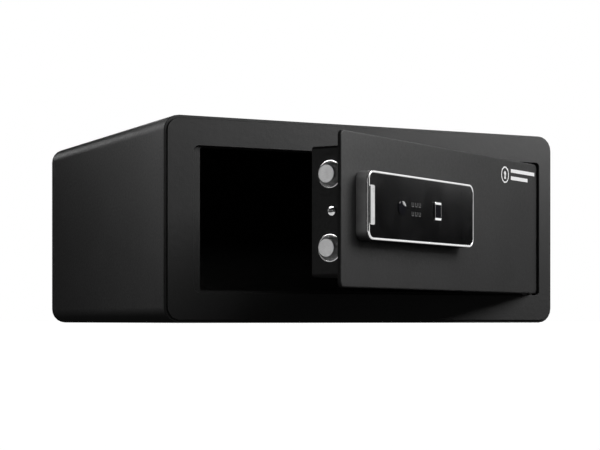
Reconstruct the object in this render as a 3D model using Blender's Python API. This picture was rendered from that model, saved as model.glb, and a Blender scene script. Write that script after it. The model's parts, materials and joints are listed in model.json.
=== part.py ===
"""In-room safe: steel body, hinged door, motor-driven bolts and a fingerprint module.

Units are metres, +Z is up. The origin is the centre of the base's underside, the front faces -Y.
The door and everything on it is drawn closed in the door's own frame, whose origin is the hinge axis,
and an empty turns that frame to the angle the door stands at.
"""
import math

import bmesh
import bpy
from mathutils import Vector

# ---------------------------------------------------------------- driving dimensions
BODY_W, BODY_H, BODY_D = 0.431, 0.195, 0.360
BODY_R = 0.015                 # radius of the body's four long edges
WALL = 0.003                   # body sheet
RIM_W, RIM_D = 0.0026, 0.0018  # step around the front frame's outer edge: width and depth
GAP = 0.0003                   # between pieces that touch

LEFT, FRONT, BACK = -BODY_W / 2, -BODY_D / 2, BODY_D / 2

RECESS_X = (LEFT + 0.0290, LEFT + 0.4151)
RECESS_Z = (0.0287, 0.1668)
RECESS_R = (0.006, 0.004, 0.004, 0.006)   # tighter at the hinge end, so the opened door clears it
RECESS_DEPTH = 0.004
LEDGE_LEFT, LEDGE_RIGHT, LEDGE_TOP, LEDGE_BOTTOM = 0.0077, 0.0003, 0.0008, 0.002
LIP_DEPTH = 0.013              # how far the opening's lip reaches behind the front face

HINGE = Vector((LEFT + 0.4078, FRONT + 0.006, 0.0))
DOOR_ANGLE = math.radians(30.7)  # how far the door stands open
PIN_R = 0.00175

# The door's frame: x = 0 and y = 0 on the hinge axis, y grows into the safe
DOOR_X = (-0.3759, 0.0038)
DOOR_Z = (0.0305, 0.1652)
DOOR_FACE = -0.006
DOOR_T = 0.0035
DOOR_REAR = DOOR_FACE + DOOR_T
ON_DOOR = DOOR_REAR + GAP      # where pieces that sit on the door plate's back begin
MID_Z = 0.0971                 # height of the bolt housing's middle

HOUSING_X = (DOOR_X[0] + 0.016, DOOR_X[1] - 0.0128)
HOUSING_Z = (MID_Z - 0.057, MID_Z + 0.057)
HOUSING_BACK = DOOR_FACE + 0.0414
HOUSING_T = 0.0015

BOLT_R = 0.0086
BOLT_Y = DOOR_FACE + 0.0212
BOLT_Z = (MID_Z - 0.032, MID_Z + 0.032)
BOLT_X = (HOUSING_X[0] - 0.0070, HOUSING_X[0] + 0.060)
BUSH_X = (HOUSING_X[0] - 0.0015, HOUSING_X[0] + 0.004)

GEAR_MODULE = 0.0008
GEAR_TEETH = 18
GEAR_R = GEAR_MODULE * GEAR_TEETH / 2
PRESSURE = math.radians(20)
BACKLASH = 0.0002
PINION = Vector((-0.272, 0.002, 0.088))
GEAR_W = 0.006
RACK_TEETH = 11
CARRIAGE_X = (BOLT_X[1] + GAP, BOLT_X[1] + 0.006)

MODULE_X = (DOOR_X[0] + 0.0228, DOOR_X[0] + 0.2142)
MODULE_Z = (0.072, 0.132)
MODULE_R = 0.008
BASE_FRONT = DOOR_FACE - 0.0108
FACE_Y = (DOOR_FACE - 0.0132, DOOR_FACE - 0.0111)
FACE_SPLIT = DOOR_X[0] + 0.190  # seam between the face panel and the key cover
SENSOR = (DOOR_X[0] + 0.1437, 0.1027)
LENS = (DOOR_X[0] + 0.080, 0.1022)
TAB_X, TAB_Z = (DOOR_X[0] + 0.0251, DOOR_X[0] + 0.0328), (0.0847, 0.1192)
LOCK = Vector((DOOR_X[0] + 0.2016, 0.0, 0.102))

BATTERY_MID = (-0.1145, MID_Z)
CELL_R, CELL_L, CELL_PITCH = 0.007, 0.050, 0.0146
BUTTON = Vector((-0.2145, HOUSING_BACK, 0.070))
BOARD_X = (-0.244, -0.1895)
BOARD_Y = (0.0, 0.0016)

ROUND = 24                     # sides of a round piece
CORNER = 5                     # steps in a rounded corner


# ---------------------------------------------------------------- materials
def material(name, colour, roughness, metallic=0.0):
    mat = bpy.data.materials.new(name)
    mat.use_nodes = True
    shader = mat.node_tree.nodes["Principled BSDF"]
    shader.inputs["Base Color"].default_value = (*colour, 1.0)
    shader.inputs["Roughness"].default_value = roughness
    shader.inputs["Metallic"].default_value = metallic
    return mat


COLOURS = {
    "coat": ((0.045, 0.046, 0.048), 0.45, 0.0),
    "chrome": ((0.80, 0.80, 0.80), 0.12, 1.0),
    "steel": ((0.55, 0.55, 0.55), 0.35, 1.0),
    "brass": ((0.72, 0.53, 0.24), 0.30, 1.0),
    "gloss": ((0.004, 0.004, 0.005), 0.06, 0.0),
    "plastic": ((0.012, 0.012, 0.013), 0.35, 0.0),
    "glass": ((0.02, 0.02, 0.025), 0.05, 0.0),
    "felt": ((0.06, 0.06, 0.062), 0.95, 0.0),
    "board": ((0.01, 0.10, 0.04), 0.40, 0.0),
    "wire": ((0.25, 0.02, 0.02), 0.45, 0.0),
    "cell": ((0.02, 0.02, 0.022), 0.30, 0.0),
}


# ---------------------------------------------------------------- shape helpers
def finish(name, bm, look, parent=None, origin=(0.0, 0.0, 0.0), flat=False):
    """Turn a bmesh, drawn in its parent's frame, into a named object whose origin is `origin`."""
    bmesh.ops.recalc_face_normals(bm, faces=bm.faces)
    bmesh.ops.translate(bm, verts=bm.verts, vec=-Vector(origin))
    mesh = bpy.data.meshes.new(name)
    bm.to_mesh(mesh)
    bm.free()
    obj = bpy.data.objects.new(name, mesh)
    bpy.context.collection.objects.link(obj)
    obj.location = origin
    obj.parent = parent
    if look:
        mesh.materials.append(material(name, *COLOURS[look]))
    if not flat:
        mesh.shade_smooth()
        mesh.set_sharp_from_angle(angle=math.radians(35))
    return obj


def skin(loops, ring=False):
    """Closed surface through loops of equal length: capped at both ends, or joined end to start."""
    bm = bmesh.new()
    rows = [[bm.verts.new(point) for point in loop] for loop in loops]
    pairs = list(zip(rows, rows[1:]))
    if ring:
        pairs.append((rows[-1], rows[0]))
    else:
        bm.faces.new(rows[0])
        bm.faces.new(rows[-1])
    for row, following in pairs:
        for i in range(len(row)):
            j = (i + 1) % len(row)
            bm.faces.new((row[i], row[j], following[j], following[i]))
    return bm


def rounded(xs, zs, radii, y, grow=0.0):
    """Rounded rectangle facing Y. radii is one number, or four from the lower left, anticlockwise."""
    if isinstance(radii, (int, float)):
        radii = (radii,) * 4
    x0, x1, z0, z1 = xs[0] - grow, xs[1] + grow, zs[0] - grow, zs[1] + grow
    corners = ((x0, z0, 1, 1), (x1, z0, -1, 1), (x1, z1, -1, -1), (x0, z1, 1, -1))
    points = []
    for number, (x, z, sx, sz) in enumerate(corners):
        r = radii[number] + grow
        start = math.pi + number * math.pi / 2
        for step in range(CORNER + 1):
            angle = start + step * math.pi / 2 / CORNER
            points.append((x + sx * r + r * math.cos(angle), y, z + sz * r + r * math.sin(angle)))
    return points


def circle(centre, radius, axis, along=0.0, sides=ROUND):
    """Circle about a line through `centre`, shifted by `along` on the axis 'x', 'y' or 'z'."""
    points = []
    for i in range(sides):
        angle = math.tau * i / sides
        a, b = radius * math.cos(angle), radius * math.sin(angle)
        offset = {"x": (along, a, b), "y": (a, along, b), "z": (a, b, along)}[axis]
        points.append(tuple(Vector(centre) + Vector(offset)))
    return points


def turned(centre, axis, profile, ring=False, sides=ROUND):
    """Turned solid: profile is (radius, distance along the axis) pairs."""
    return skin([circle(centre, r, axis, along, sides) for r, along in profile], ring)


def block(xs, ys, zs, radius=0.0, bm=None):
    """Box, its edges along Y rounded when a radius is given."""
    if radius:
        return skin([rounded(xs, zs, radius, ys[0]), rounded(xs, zs, radius, ys[1])])
    bm = bm or bmesh.new()
    corners = bmesh.ops.create_cube(bm, size=1.0)["verts"]
    for vert in corners:
        vert.co = [span[0] if value < 0 else span[1] for value, span in zip(vert.co, (xs, ys, zs))]
    return bm


def prism(outline, axis, span):
    """Outline of 2D points pushed along an axis from span[0] to span[1]."""
    place = {
        "x": lambda a, b, t: (t, a, b),
        "y": lambda a, b, t: (a, t, b),
        "z": lambda a, b, t: (a, b, t),
    }[axis]
    return skin([[place(a, b, t) for a, b in outline] for t in span])


def joined(*parts):
    """Several closed bodies in one bmesh, for a cutter with more than one hole in it."""
    whole = bmesh.new()
    for part in parts:
        mesh = bpy.data.meshes.new("part")
        bmesh.ops.recalc_face_normals(part, faces=part.faces)
        part.to_mesh(mesh)
        part.free()
        whole.from_mesh(mesh)
        bpy.data.meshes.remove(mesh)
    return whole


def combine(target, name, bm, operation="DIFFERENCE"):
    """Boolean modifier on target, with a hidden guide object as its other shape."""
    guide = finish(name, bm, None, target.parent, flat=True)
    guide.hide_render = True
    guide.display_type = "WIRE"
    boolean = target.modifiers.new(name, "BOOLEAN")
    boolean.operation = operation
    boolean.object = guide


def around(middle, half):
    return (middle - half, middle + half)


# ---------------------------------------------------------------- body
def body_wrap():
    xs, zs = (LEFT, -LEFT), (0.0, BODY_H)
    y0, y1 = FRONT + WALL + GAP, BACK - WALL - GAP
    loops = [
        rounded(xs, zs, BODY_R, y0),
        rounded(xs, zs, BODY_R, y1),
        rounded(xs, zs, BODY_R, y1, -WALL),
        rounded(xs, zs, BODY_R, y0, -WALL),
    ]
    finish("body_wrap", skin(loops, ring=True), "coat")


def opening_span():
    """The opening inside the stop ledge: its x and z spans."""
    xs = (RECESS_X[0] + LEDGE_LEFT, RECESS_X[1] - LEDGE_RIGHT)
    zs = (RECESS_Z[0] + LEDGE_BOTTOM, RECESS_Z[1] - LEDGE_TOP)
    return xs, zs


def front_frame():
    xs, zs = (LEFT, -LEFT), (0.0, BODY_H)
    mouth_x, mouth_z = opening_span()
    ledge_back = FRONT + RECESS_DEPTH + WALL
    mouth_r = 0.003
    loops = [
        rounded(xs, zs, BODY_R, FRONT, -RIM_W - 0.0004),
        rounded(xs, zs, BODY_R, FRONT + 0.0004, -RIM_W),
        rounded(xs, zs, BODY_R, FRONT + RIM_D, -RIM_W),
        rounded(xs, zs, BODY_R, FRONT + RIM_D, -0.0003),
        rounded(xs, zs, BODY_R, FRONT + RIM_D + 0.0003),
        rounded(xs, zs, BODY_R, FRONT + WALL),
        rounded(RECESS_X, RECESS_Z, RECESS_R, FRONT + WALL, WALL),
        rounded(RECESS_X, RECESS_Z, RECESS_R, ledge_back, WALL),
        rounded(mouth_x, mouth_z, mouth_r, ledge_back, 0.002),
        rounded(mouth_x, mouth_z, mouth_r, FRONT + LIP_DEPTH, 0.002),
        rounded(mouth_x, mouth_z, mouth_r, FRONT + LIP_DEPTH),
        rounded(mouth_x, mouth_z, mouth_r, FRONT + RECESS_DEPTH),
        rounded(RECESS_X, RECESS_Z, RECESS_R, FRONT + RECESS_DEPTH),
        rounded(RECESS_X, RECESS_Z, RECESS_R, FRONT + 0.0005),
        rounded(RECESS_X, RECESS_Z, RECESS_R, FRONT, 0.0004),
    ]
    frame = finish("front_frame", skin(loops, ring=True), "coat")
    # room for the door's hinge edge, which swings back past the ledge
    notch_x = (HINGE.x - 0.0105, RECESS_X[1] - 0.0006)
    notch_y = (FRONT + WALL + GAP, FRONT + 0.015)
    notches = joined(
        block(notch_x, notch_y, (mouth_z[1] - 0.001, RECESS_Z[1] + 0.0035)),
        block(notch_x, notch_y, (RECESS_Z[0] - 0.0035, mouth_z[0] + 0.002)),
    )
    combine(frame, "hinge_notches", notches)


def back_panel():
    ys = (BACK - WALL, BACK)
    loops = [rounded((LEFT, -LEFT), (0.0, BODY_H), BODY_R, y) for y in ys]
    panel = finish("back_panel", skin(loops), "coat")
    holes = []
    for side, x in (("left", -0.120), ("right", 0.120)):
        centre = (x, 0.0, BODY_H / 2)
        holes.append(turned(centre, "y", [(0.005, ys[0] - 0.002), (0.005, ys[1] + 0.002)]))
        rim = ys[0] - GAP
        profile = [(0.0075, rim - 0.0015), (0.0075, rim), (0.0047, rim), (0.0047, ys[1] - GAP)]
        finish(f"anchor_plug_{side}", turned(centre, "y", profile), "plastic")
    combine(panel, "anchor_holes", joined(*holes))


def floor_mat():
    z = WALL + GAP
    bm = bmesh.new()
    block(around(0.0, 0.197), (FRONT + 0.016, BACK - 0.006), (z, z + 0.002), bm=bm)
    finish("floor_mat", bm, "felt")


def holed_block(xs, ys, zs, centre, radius):
    """Block with a round hole up through it, about a vertical line through `centre`."""
    middle_x, middle_y = (sum(xs) / 2, sum(ys) / 2)
    half_x, half_y = ((xs[1] - xs[0]) / 2, (ys[1] - ys[0]) / 2)
    sides = 16
    outer = []
    for i in range(sides):
        angle = math.tau * i / sides
        reach = 1.0 / max(abs(math.cos(angle)), abs(math.sin(angle)))
        outer.append((middle_x + half_x * reach * math.cos(angle), middle_y + half_y * reach * math.sin(angle)))
    inner = [circle(centre, radius, "z", z, sides) for z in zs]
    square = [[(x, y, z) for x, y in outer] for z in zs]
    return skin([square[0], square[1], inner[1], inner[0]], ring=True)


def hinges(door):
    """Pin, body bracket and door lug at each end of the hinge axis."""
    low, high = RECESS_Z
    places = {
        "lower": ((low - 0.015, low - GAP), (DOOR_Z[0] + GAP, DOOR_Z[0] + 0.018), (low - 0.012, low + 0.017)),
        "upper": ((high + GAP, high + 0.015), (DOOR_Z[1] - 0.018, DOOR_Z[1] - GAP), (high - 0.017, high + 0.012)),
    }
    axis = (HINGE.x, HINGE.y, 0.0)
    for side, (bracket_z, lug_z, pin_z) in places.items():
        bracket_x = (HINGE.x - 0.008, HINGE.x + 0.0064)
        bracket_y = (FRONT + WALL + 2 * GAP, FRONT + 0.013)
        bracket = holed_block(bracket_x, bracket_y, bracket_z, axis, PIN_R + GAP)
        finish(f"hinge_bracket_{side}", bracket, "steel")
        chamfer = 0.0004
        z0, z1 = pin_z
        profile = [(PIN_R - chamfer, z0), (PIN_R, z0 + chamfer), (PIN_R, z1 - chamfer), (PIN_R - chamfer, z1)]
        finish(f"hinge_pin_{side}", turned(axis, "z", profile, sides=16), "steel")
        lug = holed_block((-0.004, 0.004), (ON_DOOR, 0.0035), lug_z, (0.0, 0.0, 0.0), PIN_R + 0.0001)
        finish(f"hinge_lug_{side}", lug, "steel", door)


# ---------------------------------------------------------------- door shell
def door_plate(door):
    loops = [
        rounded(DOOR_X, DOOR_Z, 0.005, DOOR_FACE, -0.0010),
        rounded(DOOR_X, DOOR_Z, 0.005, DOOR_FACE + 0.0003, -0.0003),
        rounded(DOOR_X, DOOR_Z, 0.005, DOOR_FACE + 0.0010),
        rounded(DOOR_X, DOOR_Z, 0.005, DOOR_REAR),
    ]
    plate = finish("door_plate", skin(loops), "coat", door)
    span = (DOOR_FACE - 0.002, DOOR_REAR + 0.002)
    holes = joined(
        turned(LOCK, "y", [(0.0086, y) for y in span]),
        turned((SENSOR[0], 0.0, LOCK.z), "y", [(0.006, y) for y in span]),
    )
    combine(plate, "door_holes", holes)


def post_places():
    inset = 0.0095
    for number, (x, z) in enumerate(
        (x, z)
        for x in (HOUSING_X[0] + inset, HOUSING_X[1] - inset)
        for z in (HOUSING_Z[0] + inset, HOUSING_Z[1] - inset)
    ):
        yield number + 1, (x, 0.0, z)


def bolt_housing(door):
    """Tray over the mechanism, open toward the door plate, with its fixing posts and screws."""
    inner_back = HOUSING_BACK - HOUSING_T
    loops = [
        rounded(HOUSING_X, HOUSING_Z, 0.003, HOUSING_BACK, -0.0012),
        rounded(HOUSING_X, HOUSING_Z, 0.003, HOUSING_BACK - 0.0012),
        rounded(HOUSING_X, HOUSING_Z, 0.003, ON_DOOR),
        rounded(HOUSING_X, HOUSING_Z, 0.003, ON_DOOR, -HOUSING_T),
        rounded(HOUSING_X, HOUSING_Z, 0.003, inner_back, -HOUSING_T),
    ]
    housing = finish("bolt_housing", skin(loops), "coat", door)
    through = (inner_back - 0.002, HOUSING_BACK + 0.002)
    end = (HOUSING_X[0] - 0.002, HOUSING_X[0] + HOUSING_T + 0.002)
    cuts = [turned((0.0, BOLT_Y, z), "x", [(BOLT_R + 0.0020, x) for x in end]) for z in BOLT_Z]
    cuts.append(turned((0.0, BOLT_Y - 0.0018, MID_Z), "x", [(0.0025, x) for x in end]))
    cuts.append(turned(BUTTON, "y", [(0.0044, y - HOUSING_BACK) for y in through]))
    cuts.append(block(around(BATTERY_MID[0], 0.031), through, around(BATTERY_MID[1], 0.034)))
    for number, place in post_places():
        cuts.append(turned(place, "y", [(0.0019, y) for y in through]))
        top = inner_back - GAP
        post = [(0.0035, ON_DOOR), (0.0035, top), (0.0019, top), (0.0019, top - 0.012)]
        finish(f"housing_post_{number}", turned(place, "y", post, sides=16), "steel", door)
        seat = HOUSING_BACK + GAP
        screw = [(0.0015, top - 0.010), (0.0015, seat), (0.0032, seat), (0.0032, seat + 0.0009), (0.0022, seat + 0.0016)]
        finish(f"housing_screw_{number}", turned(place, "y", screw, sides=16), "steel", door)
    combine(housing, "housing_holes", joined(*cuts))
    seat = HOUSING_X[0] - GAP
    screw = [(0.0026, seat - 0.0016), (0.0040, seat - 0.0010), (0.0042, seat), (0.0021, seat), (0.0021, seat + 0.011)]
    finish("housing_end_screw", turned((0.0, BOLT_Y - 0.0018, MID_Z), "x", screw), "chrome", door)


# ---------------------------------------------------------------- bolts and their drive
def bolt_bushes(door):
    for side, z in zip(("lower", "upper"), BOLT_Z):
        flange, seat, tail = BUSH_X[0], HOUSING_X[0] - GAP, BUSH_X[1]
        bore = BOLT_R + GAP
        profile = [
            (bore, flange + 0.0004),
            (bore + 0.0004, flange),
            (BOLT_R + 0.0028, flange),
            (BOLT_R + 0.0035, flange + 0.0006),
            (BOLT_R + 0.0035, seat),
            (BOLT_R + 0.0016, seat),
            (BOLT_R + 0.0016, tail),
            (bore, tail),
        ]
        finish(f"bolt_bush_{side}", turned((0.0, BOLT_Y, z), "x", profile, ring=True), "chrome", door)


def bolts(slide):
    for side, z in zip(("lower", "upper"), BOLT_Z):
        x0, x1 = BOLT_X
        chamfer = 0.0007
        profile = [(BOLT_R - chamfer, x0), (BOLT_R, x0 + chamfer), (BOLT_R, x1)]
        finish(f"bolt_{side}", turned((0.0, BOLT_Y, z), "x", profile), "chrome", slide, (0.0, BOLT_Y, z))


def guide_plate(door):
    """Angle that carries the bolts' inner ends."""
    x0, sheet, tall = HOUSING_X[0] + 0.042, 0.002, 0.029
    x1 = x0 + 0.012
    outline = [
        (x0, ON_DOOR), (x1, ON_DOOR), (x1, ON_DOOR + sheet),
        (x0 + sheet, ON_DOOR + sheet), (x0 + sheet, tall), (x0, tall),
    ]
    plate = finish("guide_plate", prism(outline, "z", around(MID_Z, 0.046)), "steel", door)
    span = (x0 - 0.002, x0 + sheet + 0.002)
    holes = [turned((0.0, BOLT_Y, z), "x", [(BOLT_R + GAP, x) for x in span]) for z in BOLT_Z]
    combine(plate, "guide_holes", joined(*holes))


def rack_outline():
    """Rack arm seen along Y: straight top, teeth below that mesh with the pinion."""
    pitch = math.pi * GEAR_MODULE
    line = PINION.z + GEAR_R
    tip, root = line - 0.9 * GEAR_MODULE, line + 1.15 * GEAR_MODULE
    half = (pitch / 2 - BACKLASH) / 2
    slope = math.tan(PRESSURE)
    top, end = line + 0.0068, PINION.x + 0.0235
    points = [(CARRIAGE_X[0] + 0.002, top), (CARRIAGE_X[0] + 0.002, root)]
    for tooth in range(RACK_TEETH):
        middle = PINION.x + (tooth - 1.5) * pitch
        wide, narrow = half + (root - line) * slope, half - (line - tip) * slope
        points += [(middle - wide, root), (middle - narrow, tip), (middle + narrow, tip), (middle + wide, root)]
    return points + [(end, root), (end, top)]


def bolt_carriage(slide):
    bar = block(CARRIAGE_X, (PINION.y, BOLT_Y + 0.006), around(MID_Z, 0.041))
    carriage = finish("bolt_carriage", bar, "steel", slide, flat=True)
    arm = prism(rack_outline(), "y", (PINION.y + 0.0002, PINION.y + GEAR_W - 0.0002))
    combine(carriage, "rack_arm", arm, "UNION")


def pinion_outline():
    """Involute teeth, one of them pointing straight up."""
    base = GEAR_R * math.cos(PRESSURE)
    outer = GEAR_R + 0.9 * GEAR_MODULE
    root = GEAR_R - 1.15 * GEAR_MODULE

    def half_angle(radius):
        alpha = math.acos(min(1.0, base / radius))
        at_pitch = (math.pi * GEAR_MODULE / 2 - BACKLASH) / (2 * GEAR_R)
        return at_pitch + (math.tan(PRESSURE) - PRESSURE) - (math.tan(alpha) - alpha)

    flank = [(radius, half_angle(max(radius, base))) for radius in (root, base, GEAR_R, outer)]
    points = []
    for tooth in range(GEAR_TEETH):
        middle = math.pi / 2 + math.tau * tooth / GEAR_TEETH
        points += [(radius, middle - angle) for radius, angle in flank]
        points += [(radius, middle + angle) for radius, angle in reversed(flank)]
    return [(radius * math.cos(angle), radius * math.sin(angle)) for radius, angle in points]


def drive(door):
    """Gear motor, its bracket and the pinion that moves the rack."""
    x, y, z = PINION
    gear = prism(pinion_outline(), "y", (0.0, GEAR_W))
    bmesh.ops.translate(gear, verts=gear.verts, vec=PINION)
    pinion = finish("drive_pinion", gear, "brass", door, PINION, flat=True)
    shaft = turned(PINION, "y", [(0.0015, 0.002), (0.0015, GEAR_W + 0.002)], sides=16)
    combine(pinion, "pinion_shaft", shaft, "UNION")

    face = y + GEAR_W + 0.0006
    sheet = 0.0015
    low, high = z - 0.014, z + 0.0157
    outline = [
        (ON_DOOR, low), (face + sheet, low), (face + sheet, high), (ON_DOOR, high),
        (ON_DOOR, high - sheet), (face, high - sheet), (face, low + sheet), (ON_DOOR, low + sheet),
    ]
    bracket = finish("motor_bracket", prism(outline, "x", around(x, 0.0135)), "steel", door)
    shaft_hole = turned((x, 0.0, z), "y", [(0.0022, face - 0.002), (0.0022, face + sheet + 0.002)], sides=16)
    combine(bracket, "bracket_hole", shaft_hole)

    back = face + sheet + GAP
    finish("gearbox", block(around(x, 0.006), (back, back + 0.009), around(z, 0.005), 0.001), "brass", door)
    start = back + 0.009 + GAP
    finish("motor", block(around(x, 0.006), (start, start + 0.0125), around(z, 0.005), 0.003), "steel", door)


# ---------------------------------------------------------------- electronics and batteries
def lead(name, points, door):
    """Insulated lead: a round wire through points in the door's frame."""
    curve = bpy.data.curves.new(name, "CURVE")
    curve.dimensions = "3D"
    curve.bevel_depth = 0.0009
    curve.bevel_resolution = 2
    curve.use_fill_caps = True
    spline = curve.splines.new("POLY")
    count = 10
    spline.points.add(count)
    for i in range(count + 1):
        a, b, c, d = (Vector(p) for p in points)
        t = i / count
        place = a * (1 - t) ** 3 + b * 3 * t * (1 - t) ** 2 + c * 3 * t * t * (1 - t) + d * t ** 3
        spline.points[i].co = (*place, 1.0)
    obj = bpy.data.objects.new(name, curve)
    bpy.context.collection.objects.link(obj)
    obj.parent = door
    curve.materials.append(material(name, *COLOURS["wire"]))


def electronics(door):
    finish("main_board", block(BOARD_X, BOARD_Y, around(MID_Z, 0.047), 0.002), "board", door)
    top = BOARD_Y[1] + GAP
    finish("board_connector", block((-0.205, -0.194), (top, 0.007), (0.071, 0.081)), "plastic", door)
    finish("board_switch", block(around(BUTTON.x, 0.003), (top, top + 0.0023), around(BUTTON.z, 0.003)), "plastic", door)
    finish("override_switch", block((-0.1969, -0.1891), (top, 0.0185), (0.098, 0.106)), "plastic", door)
    strip = block(around(SENSOR[0], 0.004), (BASE_FRONT + 0.002 + GAP, BOARD_Y[0] - GAP), around(LOCK.z, GAP))
    finish("ribbon_cable", strip, "wire", door)
    motor_side = PINION.x + 0.006 + GAP
    lead("motor_lead", [
        (motor_side, 0.0250, PINION.z), (motor_side + 0.020, 0.0250, PINION.z),
        (-0.2380, 0.0190, PINION.z), (-0.2380, top + 0.0002, PINION.z),
    ], door)
    lead("battery_lead", [
        (BATTERY_MID[0] - 0.0274, 0.0210, 0.0800), (-0.1650, 0.0210, 0.0800),
        (-0.1700, 0.0045, 0.0760), (-0.1937, 0.0045, 0.0760),
    ], door)


def batteries(door):
    x, z = BATTERY_MID
    rim = HOUSING_BACK - HOUSING_T - GAP
    floor, wall = HOUSING_BACK - 0.0184, 0.0013
    xs, zs = around(x, 0.027), around(z, 0.0306)
    loops = [
        rounded(xs, zs, 0.002, floor),
        rounded(xs, zs, 0.002, rim),
        rounded(xs, zs, 0.002, rim, -wall),
        rounded(xs, zs, 0.002, floor + wall, -wall),
    ]
    finish("battery_tray", skin(loops), "plastic", door)
    centre_y = floor + wall + GAP + CELL_R
    for number in range(4):
        centre = (x, centre_y, z + (number - 1.5) * CELL_PITCH)
        half, nub = CELL_L / 2, 0.001
        profile = [(CELL_R - 0.0005, -half), (CELL_R, -half + 0.0005), (CELL_R, half - nub - 0.0005),
                   (CELL_R - 0.0005, half - nub), (0.0026, half - nub), (0.0026, half)]
        if number % 2:
            profile = [(radius, -along) for radius, along in reversed(profile)]
        finish(f"battery_cell_{number + 1}", turned(centre, "x", profile), "cell", door)


def battery_cover(door):
    x, z = BATTERY_MID
    ys = (HOUSING_BACK - HOUSING_T, HOUSING_BACK)
    plate = block(around(x, 0.0306), ys, around(z, 0.0336), 0.001)
    finish("battery_cover", plate, "plastic", door, (x, HOUSING_BACK, z))


def reset_button(door):
    front, flange, stem = 0.0010, -0.0018, BOARD_Y[1] + 0.0038 - HOUSING_BACK
    profile = [(0.0034, front), (0.0040, front - 0.0005), (0.0040, flange), (0.0052, flange),
               (0.0052, flange - 0.0012), (0.0018, flange - 0.0012), (0.0018, stem)]
    finish("reset_button", turned(BUTTON, "y", profile), "plastic", door, BUTTON)


# ---------------------------------------------------------------- front module
def module(door):
    shell = [
        rounded(MODULE_X, MODULE_Z, MODULE_R, BASE_FRONT),
        rounded(MODULE_X, MODULE_Z, MODULE_R, DOOR_FACE - GAP),
        rounded(MODULE_X, MODULE_Z, MODULE_R, DOOR_FACE - GAP, -0.002),
        rounded(MODULE_X, MODULE_Z, MODULE_R, BASE_FRONT + 0.002, -0.002),
    ]
    base = finish("module_base", skin(shell), "plastic", door)
    lock_hole = turned(LOCK, "y", [(0.0084, BASE_FRONT - 0.002), (0.0084, BASE_FRONT + 0.004)])
    combine(base, "base_hole", lock_hole)

    front = FACE_Y[0] - 0.0004
    bezel = [
        rounded(MODULE_X, MODULE_Z, MODULE_R, FACE_Y[1]),
        rounded(MODULE_X, MODULE_Z, MODULE_R, front + 0.0008),
        rounded(MODULE_X, MODULE_Z, MODULE_R, front, -0.0007),
        rounded(MODULE_X, MODULE_Z, MODULE_R, front, -0.0016),
        rounded(MODULE_X, MODULE_Z, MODULE_R, front + 0.0003, -0.0020),
        rounded(MODULE_X, MODULE_Z, MODULE_R, FACE_Y[1], -0.0020),
    ]
    finish("module_bezel", skin(bezel, ring=True), "chrome", door)

    inset = 0.0023
    face_x = (MODULE_X[0] + inset, FACE_SPLIT - 0.0002)
    face_z = (MODULE_Z[0] + inset, MODULE_Z[1] - inset)
    soft, tight = MODULE_R - inset, 0.0003
    panel = skin([rounded(face_x, face_z, (soft, tight, tight, soft), y) for y in FACE_Y])
    panel = finish("face_panel", panel, "gloss", door)
    through = (FACE_Y[0] - 0.002, FACE_Y[1] + 0.002)
    window = block(around(SENSOR[0], 0.0060), through, around(SENSOR[1], 0.0066))
    combine(panel, "sensor_window", window)
    cover_x = (FACE_SPLIT + 0.0002, MODULE_X[1] - inset)
    cover = skin([rounded(cover_x, face_z, (tight, soft, soft, tight), y) for y in FACE_Y])
    finish("key_cover", cover, "gloss", door, (sum(cover_x) / 2, FACE_Y[0], LOCK.z))


def module_details(door):
    seat = FACE_Y[0] - GAP
    xs, zs = around(SENSOR[0], 0.00765), around(SENSOR[1], 0.0083)
    ring = [
        rounded(xs, zs, 0.0020, seat),
        rounded(xs, zs, 0.0020, seat - 0.0005),
        rounded(xs, zs, 0.0020, seat - 0.0008, -0.0003),
        rounded(xs, zs, 0.0020, seat - 0.0008, -0.0012),
        rounded(xs, zs, 0.0020, seat, -0.0017),
    ]
    finish("sensor_frame", skin(ring, ring=True), "chrome", door)
    glass = block(around(SENSOR[0], 0.0057), (seat - 0.0002, FACE_Y[1]), around(SENSOR[1], 0.0063), 0.0008)
    finish("sensor_glass", glass, "glass", door)

    half_x, half_z = 0.0070, 0.00625
    loops = []
    for share, lift in ((1.0, 0.0), (1.0, 0.0002), (0.85, 0.0005), (0.5, 0.0007)):
        ring_points = circle((0.0, 0.0, 0.0), 1.0, "y")
        loops.append([
            (LENS[0] + half_x * share * a, seat - lift, LENS[1] + half_z * share * b)
            for a, _, b in ring_points
        ])
    finish("indicator_lens", skin(loops), "glass", door)

    radii = (0.0008, 0.0030, 0.0030, 0.0008)
    loops = [
        rounded(TAB_X, TAB_Z, radii, seat),
        rounded(TAB_X, TAB_Z, radii, seat - 0.0007),
        rounded(TAB_X, TAB_Z, radii, seat - 0.0010, -0.0003),
    ]
    finish("chrome_tab", skin(loops), "chrome", door)


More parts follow.
